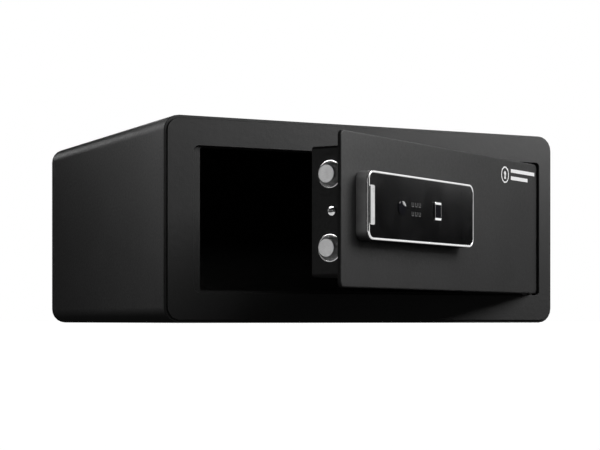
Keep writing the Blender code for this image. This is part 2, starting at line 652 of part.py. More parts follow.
def override_lock(door):
    """Key cylinder behind the key cover: its barrel, nut, plug and the cam on the plug's end."""
    face, rear = BASE_FRONT + 0.0002, 0.013
    barrel = [(0.0080, face), (0.0080, rear), (0.0054, rear), (0.0054, face)]
    finish("lock_cylinder", turned(LOCK, "y", barrel, ring=True), "brass", door)
    outer, inner, thick = 0.0115, 0.0083, 0.004
    nut = [(outer, ON_DOOR), (outer, ON_DOOR + thick), (inner, ON_DOOR + thick), (inner, ON_DOOR)]
    finish("lock_nut", turned(LOCK, "y", nut, ring=True), "steel", door)

    plug_end = 0.015
    plug = turned(LOCK, "y", [(0.0046, BASE_FRONT), (0.0050, BASE_FRONT + 0.0004), (0.0050, plug_end)])
    plug = finish("lock_plug", plug, "brass", door, LOCK)
    keyway = block(around(LOCK.x, 0.0006), (BASE_FRONT - 0.002, BASE_FRONT + 0.010), around(LOCK.z, 0.0036))
    combine(plug, "keyway", keyway)

    arm, hub, tip = 0.0142, 0.0055, 0.0022
    outline = [
        (hub * math.cos(angle), hub * math.sin(angle))
        for angle in (math.radians(150 + step * 24) for step in range(11))
    ]
    outline += [(tip, arm - 0.001), (tip - 0.001, arm), (0.001 - tip, arm), (-tip, arm - 0.001)]
    cam = prism(outline, "y", (plug_end + GAP, plug_end + 0.0023))
    bmesh.ops.translate(cam, verts=cam.verts, vec=LOCK)
    finish("lock_cam", cam, "steel", door, LOCK)


# ---------------------------------------------------------------- assembly
def main():
    for obj in list(bpy.data.objects):
        bpy.data.objects.remove(obj, do_unlink=True)

    door = bpy.data.objects.new("door_axis", None)
    bpy.context.collection.objects.link(door)
    door.location = HINGE
    door.rotation_euler.z = DOOR_ANGLE
    slide = bpy.data.objects.new("bolt_slide_axis", None)
    bpy.context.collection.objects.link(slide)
    slide.parent = door

    body_wrap()
    front_frame()
    back_panel()
    floor_mat()
    hinges(door)

    door_plate(door)
    bolt_housing(door)
    bolt_bushes(door)
    bolts(slide)
    guide_plate(door)
    bolt_carriage(slide)
    drive(door)

    electronics(door)
    batteries(door)
    battery_cover(door)
    reset_button(door)

    module(door)
    module_details(door)
    override_lock(door)


main()
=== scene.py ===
"""Looks of the in-room safe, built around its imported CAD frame."""
import json
import math

import bmesh
import bpy
from mathutils import Matrix, Vector, noise


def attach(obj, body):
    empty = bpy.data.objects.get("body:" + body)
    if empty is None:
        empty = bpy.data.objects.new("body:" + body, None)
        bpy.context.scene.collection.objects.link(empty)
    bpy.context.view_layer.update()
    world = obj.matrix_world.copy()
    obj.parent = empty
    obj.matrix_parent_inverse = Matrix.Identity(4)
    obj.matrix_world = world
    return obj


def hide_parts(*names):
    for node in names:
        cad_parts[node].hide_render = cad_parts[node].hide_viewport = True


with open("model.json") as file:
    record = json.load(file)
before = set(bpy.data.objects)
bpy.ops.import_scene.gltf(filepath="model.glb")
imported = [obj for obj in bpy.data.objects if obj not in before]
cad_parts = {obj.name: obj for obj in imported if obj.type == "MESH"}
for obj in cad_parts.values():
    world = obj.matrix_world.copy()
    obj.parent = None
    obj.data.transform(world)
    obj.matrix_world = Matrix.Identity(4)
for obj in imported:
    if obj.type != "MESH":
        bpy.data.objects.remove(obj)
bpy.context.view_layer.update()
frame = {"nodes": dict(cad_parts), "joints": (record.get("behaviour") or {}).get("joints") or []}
nodes = frame["nodes"]
MM = 0.001

# The door's own frame has its origin on the hinge axis, x along the door and y into the safe
hinge = next(joint for joint in frame["joints"] if joint["name"] == "door_hinge")
DOOR_TURN = math.radians(hinge["range_deg"][0])
DOOR = Matrix.Translation(hinge["pos_m"]) @ Matrix.Rotation(-DOOR_TURN, 4, "Z")
BODY = Matrix.Identity(4)


def span(node, place=DOOR):
    """Lowest and highest corner of a CAD node in the frame `place`."""
    back = place.inverted()
    points = [back @ vert.co for vert in nodes[node].data.vertices]
    return Vector(map(min, *points)), Vector(map(max, *points))


# ---------------------------------------------------------------- camera, lights, floor
def make_camera():
    """Long lens at the front left, level and just above the floor, with its picture shifted."""
    data = bpy.data.cameras.new("camera")
    data.lens = 98.17
    data.shift_x = -0.0833
    data.shift_y = 0.159
    data.clip_start = 0.01
    data.clip_end = 50.0
    camera = bpy.data.objects.new("camera", data)
    camera.location = (-0.7529, -1.6150, 0.0024)
    camera.rotation_euler = (math.radians(90), 0.0, math.radians(-26.99))
    bpy.context.scene.collection.objects.link(camera)
    bpy.context.scene.camera = camera


# name: (place, point it faces, width, height, watts)
SOFTBOXES = {
    "key": ((0.60, -0.65, 0.60), (0.10, -0.20, 0.12), 0.50, 0.50, 8.8),
    "front": ((0.00, -0.95, 0.42), (-0.02, -0.30, 0.13), 0.30, 0.20, 0.55),
    "back": ((0.60, 1.40, 0.55), (0.05, 0.10, 0.10), 0.90, 0.60, 5.0),
    "rim": ((-1.30, 0.90, 0.50), (-0.15, 0.00, 0.10), 0.80, 0.80, 0.55),
}


# Reflector cards that only the named pieces see: (place, point it faces, width, height, watts, pieces)
RIMS = ("bezel_rim", "finger_tab", "sensor_rim")
BUSHES = ("bush_rim_lower", "bush_rim_upper", "end_screw")
CARDS = {
    "bolt_card": ((-1.50, -0.33, 0.22), (-0.13, -0.35, 0.11), 0.90, 0.70, 1.5,
                  ("bolt_lower", "bolt_upper") + RIMS),
    "end_card": ((-1.50, -0.33, 0.22), (-0.13, -0.35, 0.11), 0.90, 0.70, 0.7, ("bolt_housing",)),
    "side_card": ((1.55, 0.10, 0.62), (0.00, -0.30, 0.10), 1.70, 1.30, 7.5, RIMS + BUSHES),
    "low_card": ((0.15, -0.45, 0.01), (0.15, -0.45, 1.00), 1.90, 1.10, 5.0, RIMS),
    "bush_card": ((-0.10, -0.25, 0.01), (-0.10, -0.25, 1.00), 1.40, 0.90, 2.5, BUSHES),
    "bush_top": ((-0.50, 0.00, 1.00), (-0.15, -0.33, 0.10), 1.30, 1.30, 40.0, BUSHES),
    "panel_card": ((1.60, 0.02, 0.60), (-0.05, -0.32, 0.10), 0.62, 0.62, 4.6,
                   ("face_panel", "key_cover", "sensor_glass", "indicator_lens")),
    "sheen_card": ((1.60, -0.40, 0.45), (0.00, -0.30, 0.10), 0.90, 0.45, 0.55, ("door_plate",)),
    "door_card": ((-0.05, -0.75, 0.62), (-0.08, -0.32, 0.17), 0.30, 0.30, 1.3, ("door_plate",)),
    "base_card": ((-0.70, -0.60, 0.75), (-0.10, -0.35, 0.10), 0.40, 0.40, 5.0, ("module_base",)),
    "flank_card": ((-0.42, -0.30, 0.34), (-0.22, -0.14, 0.17), 0.12, 0.12, 2.0, ("body_wrap",)),
    "edge_card": ((-0.45, 1.10, 0.52), (-0.21, 0.00, 0.19), 0.30, 0.20, 0.45, ("body_wrap",)),
}


def softbox(name, place, target, width, height, watts):
    data = bpy.data.lights.new(name, "AREA")
    data.shape = "RECTANGLE"
    data.size, data.size_y = width, height
    data.energy = watts
    lamp = bpy.data.objects.new(name, data)
    lamp.location = place
    lamp.rotation_euler = (Vector(target) - Vector(place)).to_track_quat("-Z", "Y").to_euler()
    bpy.context.scene.collection.objects.link(lamp)
    return lamp


def make_cards():
    for name, (*setting, pieces) in CARDS.items():
        seen_by = bpy.data.collections.new(f"{name}_seen_by")
        for piece in pieces:
            seen_by.objects.link(bpy.data.objects[piece])
        softbox(name, *setting).light_linking.receiver_collection = seen_by


WORLD_LOW, WORLD_HIGH = 0.060, 0.010     # studio ambience from below and from above
WORLD_FAR = 0.2                          # share of it left behind the object, on the right


def make_world():
    """White where the camera looks past the object, and a soft dim studio for everything else."""
    world = bpy.data.worlds.new("studio")
    world.use_nodes = True
    tree = world.node_tree
    tree.nodes.clear()

    def add(kind, **settings):
        made = tree.nodes.new(kind)
        for key, value in settings.items():
            setattr(made, key, value)
        return made

    where = add("ShaderNodeTexCoord")
    split = add("ShaderNodeSeparateXYZ")
    rise = add("ShaderNodeMapRange", interpolation_type="SMOOTHSTEP")
    fade = add("ShaderNodeMapRange", interpolation_type="SMOOTHSTEP")
    for ramp, values in ((rise, (-0.25, 0.45, WORLD_LOW, WORLD_HIGH)), (fade, (0.0, 0.7, 1.0, WORLD_FAR))):
        for key, value in zip(("From Min", "From Max", "To Min", "To Max"), values):
            ramp.inputs[key].default_value = value
    aside = add("ShaderNodeVectorMath", operation="DOT_PRODUCT")
    aside.inputs[1].default_value = (0.6, 0.8, 0.0)
    product = add("ShaderNodeMath", operation="MULTIPLY")
    ambience, white = add("ShaderNodeBackground"), add("ShaderNodeBackground")
    rays, choose, out = add("ShaderNodeLightPath"), add("ShaderNodeMixShader"), add("ShaderNodeOutputWorld")
    tree.links.new(where.outputs["Generated"], split.inputs[0])
    tree.links.new(split.outputs["Z"], rise.inputs["Value"])
    tree.links.new(where.outputs["Generated"], aside.inputs[0])
    tree.links.new(aside.outputs["Value"], fade.inputs["Value"])
    tree.links.new(rise.outputs[0], product.inputs[0])
    tree.links.new(fade.outputs[0], product.inputs[1])
    tree.links.new(product.outputs[0], ambience.inputs["Color"])
    tree.links.new(rays.outputs["Is Camera Ray"], choose.inputs[0])
    tree.links.new(ambience.outputs[0], choose.inputs[1])
    tree.links.new(white.outputs[0], choose.inputs[2])
    tree.links.new(choose.outputs[0], out.inputs["Surface"])
    white.inputs["Color"].default_value = (1.0, 1.0, 1.0, 1.0)
    bpy.context.scene.world = world


def make_floor():
    """Pale floor that glows a little, so that it stays white far from the lamps."""
    mat = bpy.data.materials.new("pale_floor")
    mat.use_nodes = True
    tree = mat.node_tree
    tree.nodes.clear()
    diffuse = tree.nodes.new("ShaderNodeBsdfDiffuse")
    glow = tree.nodes.new("ShaderNodeEmission")
    both = tree.nodes.new("ShaderNodeAddShader")
    out = tree.nodes.new("ShaderNodeOutputMaterial")
    diffuse.inputs["Color"].default_value = (0.45, 0.45, 0.45, 1.0)
    glow.inputs["Color"].default_value = (1.0, 1.0, 1.0, 1.0)
    glow.inputs["Strength"].default_value = 0.98
    tree.links.new(diffuse.outputs[0], both.inputs[0])
    tree.links.new(glow.outputs[0], both.inputs[1])
    tree.links.new(both.outputs[0], out.inputs["Surface"])
    bm = bmesh.new()
    bmesh.ops.create_grid(bm, x_segments=4, y_segments=4, size=15.0)
    mesh = bpy.data.meshes.new("floor")
    bm.to_mesh(mesh)
    bm.free()
    mesh.materials.append(mat)
    floor = bpy.data.objects.new("floor", mesh)
    floor.location.z = -0.5 * MM
    floor.visible_diffuse = False
    floor.visible_glossy = False
    bpy.context.scene.collection.objects.link(floor)


# ---------------------------------------------------------------- materials
class Finish:
    """A Principled material and short calls for the nodes that drive it."""

    def __init__(self, name, **fixed):
        self.mat = bpy.data.materials.new(name)
        self.mat.use_nodes = True
        self.tree = self.mat.node_tree
        self.shader = self.tree.nodes["Principled BSDF"]
        for socket, value in fixed.items():
            self.shader.inputs[socket.replace("_", " ")].default_value = value
        self.where = self.add("ShaderNodeTexCoord").outputs["Object"]

    def add(self, kind, inputs=None, **settings):
        made = self.tree.nodes.new(kind)
        for key, value in settings.items():
            setattr(made, key, value)
        for key, value in (inputs or {}).items():
            self.put(made.inputs[key], value)
        return made

    def put(self, socket, value):
        if isinstance(value, bpy.types.NodeSocket):
            self.tree.links.new(value, socket)
        else:
            socket.default_value = value

    def stretched(self, scale, turn=0.0):
        """Object coordinates scaled by three numbers, after a turn about Z in radians."""
        turned = self.add("ShaderNodeMapping", {"Vector": self.where, "Rotation": (0.0, 0.0, turn)})
        return self.add("ShaderNodeMapping", {"Vector": turned.outputs[0], "Scale": scale}).outputs[0]

    def noise(self, size, detail=2.0, vector=None, distortion=0.0):
        """Noise whose grains are about `size` metres across, from 0 to 1."""
        inputs = {"Vector": vector or self.where, "Scale": 1.0 / size, "Detail": detail,
                  "Distortion": distortion}
        return self.add("ShaderNodeTexNoise", inputs).outputs["Fac"]

    def fit(self, value, low, high, to_low, to_high):
        inputs = {"Value": value, "From Min": low, "From Max": high, "To Min": to_low, "To Max": to_high}
        return self.add("ShaderNodeMapRange", inputs).outputs[0]

    def math(self, operation, a, b=0.0):
        return self.add("ShaderNodeMath", {0: a, 1: b}, operation=operation).outputs[0]

    def blend(self, share, first, second):
        """Colour between two greys or colours."""
        made = self.add("ShaderNodeMix", data_type="RGBA")
        for socket, value in ((made.inputs[0], share), (made.inputs[6], first), (made.inputs[7], second)):
            self.put(socket, value if isinstance(value, (bpy.types.NodeSocket, float)) else (*value, 1.0))
        return made.outputs[2]

    def bump(self, *layers):
        """Bump from (height, depth in metres) layers, one on top of the other."""
        normal = None
        for height, depth in layers:
            made = self.add("ShaderNodeBump", {"Height": height, "Distance": depth})
            if normal:
                self.put(made.inputs["Normal"], normal)
            normal = made.outputs[0]
        self.put(self.shader.inputs["Normal"], normal)

    def colour(self, value):
        self.put(self.shader.inputs["Base Color"], value)

    def roughness(self, value):
        self.put(self.shader.inputs["Roughness"], value)


def powder_coat(name="powder_coat", level=1.0):
    f = Finish(name, Metallic=0.0)
    grain = f.noise(0.9 * MM, 3.0)
    cloud = f.noise(60 * MM, 3.0)
    tone = f.math("ADD", f.math("MULTIPLY", grain, 0.7), f.math("MULTIPLY", cloud, 0.3))
    f.colour(f.blend(f.fit(tone, 0.35, 0.65, 0.0, 1.0), (0.017 * level,) * 3, (0.029 * level,) * 3))
    f.roughness(f.fit(f.noise(2.2 * MM, 2.0), 0.3, 0.7, 0.40, 0.52))
    f.bump((f.noise(5 * MM, 1.0), 0.10 * MM), (grain, 0.07 * MM))
    return f.mat


def zinc():
    f = Finish("zinc_plate", Metallic=1.0)
    spangle = f.add("ShaderNodeTexVoronoi", {"Vector": f.where, "Scale": 240.0}).outputs["Color"]
    f.colour(f.blend(f.fit(spangle, 0.0, 1.0, 0.0, 1.0), (0.50, 0.50, 0.49), (0.62, 0.62, 0.60)))
    f.roughness(f.fit(f.noise(3 * MM, 3.0), 0.3, 0.7, 0.26, 0.44))
    f.bump((f.noise(0.4 * MM, 2.0), 0.010 * MM))
    return f.mat


def polished(name="polished_chrome", level=1.0):
    f = Finish(name, Metallic=1.0)
    smudge = f.noise(9 * MM, 3.0)
    f.colour(f.blend(f.fit(smudge, 0.35, 0.65, 0.0, 1.0), (0.80 * level,) * 3, (0.88 * level,) * 3))
    f.roughness(f.fit(f.noise(1.6 * MM, 4.0, distortion=1.0), 0.35, 0.75, 0.08, 0.20))
    f.bump((f.noise(0.5 * MM, 2.0), 0.003 * MM))
    return f.mat


def satin_steel():
    """Turned and satin-plated bolt steel, its faint lines running round."""
    f = Finish("satin_steel", Metallic=1.0)
    lines = f.noise(0.5 * MM, 3.0, f.stretched((1.0, 0.2, 1.0), DOOR_TURN))
    f.colour(f.blend(f.fit(lines, 0.35, 0.65, 0.0, 1.0), (0.60, 0.60, 0.60), (0.66, 0.66, 0.66)))
    f.roughness(f.fit(f.noise(3 * MM, 2.0), 0.3, 0.7, 0.30, 0.38))
    f.bump((lines, 0.0012 * MM))
    return f.mat


def brass():
    f = Finish("machined_brass", Metallic=1.0)
    lines = f.noise(0.3 * MM, 2.0, f.stretched((0.2, 1.0, 1.0), DOOR_TURN))
    f.colour(f.blend(f.fit(f.noise(5 * MM, 3.0), 0.3, 0.7, 0.0, 1.0), (0.60, 0.42, 0.16), (0.78, 0.58, 0.28)))
    f.roughness(f.fit(f.noise(2 * MM, 3.0), 0.3, 0.7, 0.22, 0.40))
    f.bump((lines, 0.006 * MM))
    return f.mat


def gloss_panel():
    """Black gloss acrylic with faint handling marks."""
    f = Finish("gloss_panel", Metallic=0.0, Specular_IOR_Level=0.3)
    smear = f.noise(30 * MM, 3.0, distortion=0.4)
    f.colour(f.blend(smear, (0.002, 0.002, 0.0022), (0.004, 0.004, 0.0043)))
    f.roughness(f.fit(smear, 0.40, 0.70, 0.15, 0.19))
    f.bump((f.noise(30 * MM, 1.0), 0.004 * MM))
    return f.mat


def moulded(name="moulded_plastic", low=0.010, high=0.017, rough=(0.30, 0.42)):
    f = Finish(name, Metallic=0.0)
    grain = f.noise(0.5 * MM, 2.0)
    f.colour(f.blend(f.fit(f.noise(12 * MM, 3.0), 0.3, 0.7, 0.0, 1.0), (low,) * 3, (high,) * 3))
    f.roughness(f.fit(f.noise(4 * MM, 3.0), 0.3, 0.7, *rough))
    f.bump((grain, 0.020 * MM))
    return f.mat


def dark_glass():
    f = Finish("dark_glass", Metallic=0.0, IOR=1.52)
    ridge = f.add("ShaderNodeTexWave", {"Vector": f.where, "Scale": 420.0, "Distortion": 3.0, "Detail": 1.0},
                  wave_type="RINGS", rings_direction="SPHERICAL").outputs["Fac"]
    f.colour(f.blend(ridge, (0.006, 0.006, 0.008), (0.014, 0.014, 0.017)))
    f.roughness(f.fit(f.noise(3 * MM, 3.0), 0.3, 0.7, 0.03, 0.10))
    f.bump((ridge, 0.004 * MM))
    return f.mat


def felt():
    f = Finish("needled_felt", Metallic=0.0, Sheen_Weight=0.25, Sheen_Roughness=0.6)
    one = f.noise(1.1 * MM, 4.0, f.stretched((1.0, 0.25, 1.0), 0.6), distortion=1.5)
    two = f.noise(1.1 * MM, 4.0, f.stretched((0.25, 1.0, 1.0), -0.3), distortion=1.5)
    fibre = f.math("ADD", f.math("MULTIPLY", one, 0.5), f.math("MULTIPLY", two, 0.5))
    f.colour(f.blend(f.fit(fibre, 0.35, 0.65, 0.0, 1.0), (0.022, 0.022, 0.024), (0.075, 0.075, 0.078)))
    f.roughness(f.fit(f.noise(8 * MM, 3.0), 0.3, 0.7, 0.88, 0.98))
    f.bump((f.noise(14 * MM, 2.0), 0.4 * MM), (fibre, 0.25 * MM))
    return f.mat


def circuit_board():
    f = Finish("solder_resist", Metallic=0.0)
    tracks = f.add("ShaderNodeTexBrick", {
        "Vector": f.stretched((1.0, 1.0, 1.0), DOOR_TURN), "Scale": 160.0, "Mortar Size": 0.03,
        "Color1": (0.0, 0.0, 0.0, 1.0), "Color2": (0.0, 0.0, 0.0, 1.0), "Mortar": (1.0, 1.0, 1.0, 1.0),
    }).outputs["Color"]
    f.colour(f.blend(f.fit(tracks, 0.0, 1.0, 0.0, 1.0), (0.006, 0.075, 0.030), (0.014, 0.150, 0.060)))
    f.roughness(f.fit(f.noise(5 * MM, 2.0), 0.3, 0.7, 0.25, 0.42))
    f.bump((f.fit(tracks, 0.0, 1.0, 0.0, 1.0), 0.03 * MM))
    return f.mat


def insulation():
    f = Finish("wire_insulation", Metallic=0.0)
    tone = f.fit(f.noise(6 * MM, 2.0), 0.3, 0.7, 0.0, 1.0)
    f.colour(f.blend(tone, (0.22, 0.012, 0.012), (0.32, 0.025, 0.022)))
    f.roughness(f.fit(f.noise(2 * MM, 2.0), 0.3, 0.7, 0.34, 0.52))
    f.bump((f.noise(0.6 * MM, 2.0), 0.01 * MM))
    return f.mat


def print_ink(name, tone):
    """Pad-printed ink, slightly uneven where it meets the surface's grain."""
    f = Finish(name, Metallic=0.0)
    f.colour(f.blend(f.fit(f.noise(0.6 * MM, 3.0), 0.3, 0.6, 0.0, 1.0), (tone * 0.82,) * 3, (tone,) * 3))
    f.roughness(f.fit(f.noise(1.5 * MM, 2.0), 0.3, 0.7, 0.42, 0.58))
    f.bump((f.noise(0.5 * MM, 2.0), 0.012 * MM))
    return f.mat


def cell_sleeve():
    f = Finish("cell_sleeve", Metallic=0.0)
    tone = f.fit(f.noise(10 * MM, 2.0), 0.3, 0.7, 0.0, 1.0)
    f.colour(f.blend(tone, (0.014, 0.014, 0.016), (0.022, 0.022, 0.024)))
    f.roughness(f.fit(f.noise(4 * MM, 3.0), 0.3, 0.7, 0.22, 0.36))
    f.bump((f.noise(3 * MM, 2.0), 0.02 * MM))
    return f.mat


def copper_band():
    f = Finish("cell_band", Metallic=0.0)
    f.colour(f.blend(f.fit(f.noise(4 * MM, 2.0), 0.3, 0.7, 0.0, 1.0), (0.42, 0.17, 0.06), (0.52, 0.23, 0.09)))
    f.roughness(f.fit(f.noise(3 * MM, 2.0), 0.3, 0.7, 0.22, 0.36))
    f.bump((f.noise(2 * MM, 2.0), 0.01 * MM))
    return f.mat


# ---------------------------------------------------------------- shape helpers
def skin(loops, ring=False):
    """Closed surface through loops of equal length: capped at both ends, or joined end to start."""
    bm = bmesh.new()
    rows = [[bm.verts.new(point) for point in loop] for loop in loops]
    pairs = list(zip(rows, rows[1:]))
    if ring:
        pairs.append((rows[-1], rows[0]))
    else:
        bm.faces.new(rows[0])
        bm.faces.new(rows[-1])
    for row, following in pairs:
        for i in range(len(row)):
            j = (i + 1) % len(row)
            bm.faces.new((row[i], row[j], following[j], following[i]))
    return bm


def rounded(xs, zs, radius, y, grow=0.0, steps=12):
    """Rounded rectangle facing Y, grown by `grow` all round."""
    x0, x1, z0, z1 = xs[0] - grow, xs[1] + grow, zs[0] - grow, zs[1] + grow
    r = max(radius + grow, 0.02 * MM)
    corners = ((x0 + r, z0 + r), (x1 - r, z0 + r), (x1 - r, z1 - r), (x0 + r, z1 - r))
    points = []
    for number, (x, z) in enumerate(corners):
        for step in range(steps + 1):
            angle = math.pi + (number + step / steps) * math.pi / 2
            points.append((x + r * math.cos(angle), y, z + r * math.sin(angle)))
    return points


def turned(centre, axis, profile, ring=False, sides=48):
    """Turned solid: profile is (radius, distance along the axis 'x' or 'y') pairs."""
    loops = []
    for radius, along in profile:
        loop = []
        for i in range(sides):
            angle = math.tau * i / sides
            a, b = radius * math.cos(angle), radius * math.sin(angle)
            loop.append(Vector(centre) + Vector((along, a, b) if axis == "x" else (a, along, b)))
        loops.append(loop)
    return skin(loops, ring)


def box(xs, ys, zs, bm=None):
    """Box between pairs of x, y and z, added to `bm` when one is given."""
    bm = bm or bmesh.new()
    for vert in bmesh.ops.create_cube(bm, size=1.0)["verts"]:
        vert.co = [ends[0] if value < 0 else ends[1] for value, ends in zip(vert.co, (xs, ys, zs))]
    return bm


def make(name, bm, body, mats, place=DOOR, replaces=(), bevel=0.0):
    """Turn a bmesh drawn in the frame `place` into a piece that rides on a body."""
    bmesh.ops.recalc_face_normals(bm, faces=bm.faces)
    mesh = bpy.data.meshes.new(name)
    bm.to_mesh(mesh)
    bm.free()
    for mat in mats if isinstance(mats, (list, tuple)) else [mats]:
        mesh.materials.append(mat)
    piece = bpy.data.objects.new(name, mesh)
    bpy.context.scene.collection.objects.link(piece)
    piece.matrix_world = place
    tidy(piece, bevel)
    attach(piece, body)
    if replaces:
        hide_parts(*replaces)
    return piece


def carve(name, target, cutter):
    """bmesh of `target` with `cutter` taken out of it."""
    made = []
    for suffix, bm in (("body", target), ("cut", cutter)):
        bmesh.ops.recalc_face_normals(bm, faces=bm.faces)
        mesh = bpy.data.meshes.new(f"{name}_{suffix}")
        bm.to_mesh(mesh)
        bm.free()
        obj = bpy.data.objects.new(mesh.name, mesh)
        bpy.context.scene.collection.objects.link(obj)
        made.append(obj)
    body, cut = made
    boolean = body.modifiers.new("carve", "BOOLEAN")
    boolean.operation = "DIFFERENCE"
    boolean.solver = "EXACT"
    boolean.object = cut
    result = bmesh.new()
    result.from_object(body, bpy.context.evaluated_depsgraph_get())
    for obj in made:
        bpy.data.objects.remove(obj, do_unlink=True)
    return result


SHARP_ANGLE = math.radians(48)      # an edge that turns more than this is shaded sharp


def geometry_group(name):
    """Empty geometry node group, its own start and end nodes, and calls that add and link nodes."""
    group = bpy.data.node_groups.new(name, "GeometryNodeTree")
    for way in ("INPUT", "OUTPUT"):
        group.interface.new_socket("Geometry", in_out=way, socket_type="NodeSocketGeometry")
    add, link = group.nodes.new, group.links.new
    return group, add("NodeGroupInput"), add("NodeGroupOutput"), add, link


def weld_group():
    """Geometry nodes that forget the imported normals and weld the tessellated mesh."""
    group, start, end, add, link = geometry_group("tidy_normals")
    forget = add("GeometryNodeRemoveAttribute")
    forget.inputs["Name"].default_value = "custom_normal"
    weld = add("GeometryNodeMergeByDistance")
    weld.inputs["Distance"].default_value = 0.001 * MM
    link(start.outputs[0], forget.inputs[0])
    link(forget.outputs[0], weld.inputs[0])
    link(weld.outputs[0], end.inputs[0])
    return group


def smooth_group():
    """Geometry nodes that shade a mesh smooth up to its sharp edges."""
    group, start, end, add, link = geometry_group("smooth_to_sharp_edges")
    soft, sharp = add("GeometryNodeSetShadeSmooth"), add("GeometryNodeSetShadeSmooth")
    soft.domain, sharp.domain = "FACE", "EDGE"
    sharp.inputs["Shade Smooth"].default_value = False
    angle, over = add("GeometryNodeInputMeshEdgeAngle"), add("FunctionNodeCompare")
    over.data_type, over.operation = "FLOAT", "GREATER_THAN"
    over.inputs[1].default_value = SHARP_ANGLE
    link(angle.outputs["Unsigned Angle"], over.inputs[0])
    link(over.outputs[0], sharp.inputs["Selection"])
    link(start.outputs[0], soft.inputs[0])
    link(soft.outputs[0], sharp.inputs[0])
    link(sharp.outputs[0], end.inputs[0])
    return group


GROUPS = {"weld": weld_group(), "smooth": smooth_group()}


def tidy(obj, bevel=0.0):
    """Modifiers that weld, round the crisp edges by `bevel` metres and shade the result."""
    obj.modifiers.new("weld", "NODES").node_group = GROUPS["weld"]
    if bevel:
        flat = obj.modifiers.new("merge_flats", "DECIMATE")
        flat.decimate_type = "DISSOLVE"
        flat.angle_limit = math.radians(0.5)
        edge = obj.modifiers.new("soft_edges", "BEVEL")
        edge.width = bevel
        edge.segments = 3
        edge.limit_method = "ANGLE"
        edge.angle_limit = math.radians(40)
        edge.use_clamp_overlap = True
    obj.modifiers.new("smooth", "NODES").node_group = GROUPS["smooth"]
    weigh = obj.modifiers.new("weigh_normals", "WEIGHTED_NORMAL")
    weigh.keep_sharp = True
    weigh.weight = 80


# ---------------------------------------------------------------- CAD nodes
# radius of each node's softened edges, in metres; the others keep their CAD edges
EDGES = {
    "bolt_housing": 0.0005, "front_frame": 0.0003, "back_panel": 0.0008,
    "module_base": 0.0004, "face_panel": 0.00015, "key_cover": 0.00015, "guide_plate": 0.0003,
    "hinge_bracket_lower": 0.0005, "hinge_bracket_upper": 0.0005, "hinge_lug_lower": 0.0005,
    "hinge_lug_upper": 0.0005, "bolt_carriage": 0.0003, "motor_bracket": 0.0003, "lock_cam": 0.0002,
    "main_board": 0.0001, "battery_tray": 0.0002, "bolt_lower": 0.0002, "bolt_upper": 0.0002,
    "anchor_plug_left": 0.0004, "anchor_plug_right": 0.0004, "reset_button": 0.0002, "gearbox": 0.0003,
    "motor": 0.0004,
}


# nodes whose look is not that of their CAD material; the bolt housing gets the powder coat darkened to 0.65,
# painted shade on its end
OWN_LOOKS = {
    # the module base gets a plastic several times lighter than the moulded one: painted light on the module's
    # side wall
    "bolt_lower": "satin", "bolt_upper": "satin", "bolt_housing": "shaded_coat", "module_base": "base",
}


def finish_nodes(looks):
    """Give every carried-over CAD node its material and soft edges."""
    for name, obj in nodes.items():
        look = OWN_LOOKS.get(name, obj.data.materials[0].name.split(".")[0])
        obj.data.materials[0] = looks[look]
        tidy(obj, EDGES.get(name, 0.0))


# ---------------------------------------------------------------- pieces
def bezel(looks):
    """Polished rim of the module with its edges rolled over."""
    low, high = span("module_bezel")
    xs, zs = (low.x, high.x), (low.z, high.z)
    front, back = low.y, high.y
    profile = [(back, 0.0), (front + 1.0 * MM, 0.0)]
    for step in range(1, 7):
        angle = step / 6 * math.pi / 2
        profile.append((front + 1.0 * MM * (1 - math.sin(angle)), -0.8 * MM * (1 - math.cos(angle))))
    profile.append((front, -1.3 * MM))
    for step in range(1, 5):
        angle = step / 4 * math.pi / 2
        profile.append((front + 0.5 * MM * (1 - math.cos(angle)), -1.3 * MM - 0.7 * MM * math.sin(angle)))
    profile.append((back, -2.0 * MM))
    loops = [rounded(xs, zs, 8 * MM, y, grow) for y, grow in profile]
    make("bezel_rim", skin(loops, ring=True), "door", looks["chrome"], replaces=("module_bezel",))


def cross_cutter(centre, axis, tip, depth, reach, width):
    """Cross-shaped recess tool: it starts 1 mm outside the head's tip and narrows to its floor."""
    corners = [(reach, -width), (reach, width), (width, width)]
    corners += [(width, reach), (-width, reach), (-width, width)]
    corners += [(-p, -q) for p, q in corners]
    outward = -1.0 if axis == "x" else 1.0
    loops = []
    for along, share in ((tip + outward * MM, 1.25), (tip - outward * depth, 0.60)):
        flat = [(p * share, q * share) for p, q in corners]
        offsets = [(along, p, q) if axis == "x" else (p, along, q) for p, q in flat]
        loops.append([Vector(centre) + Vector(offset) for offset in offsets])
    return skin(loops)


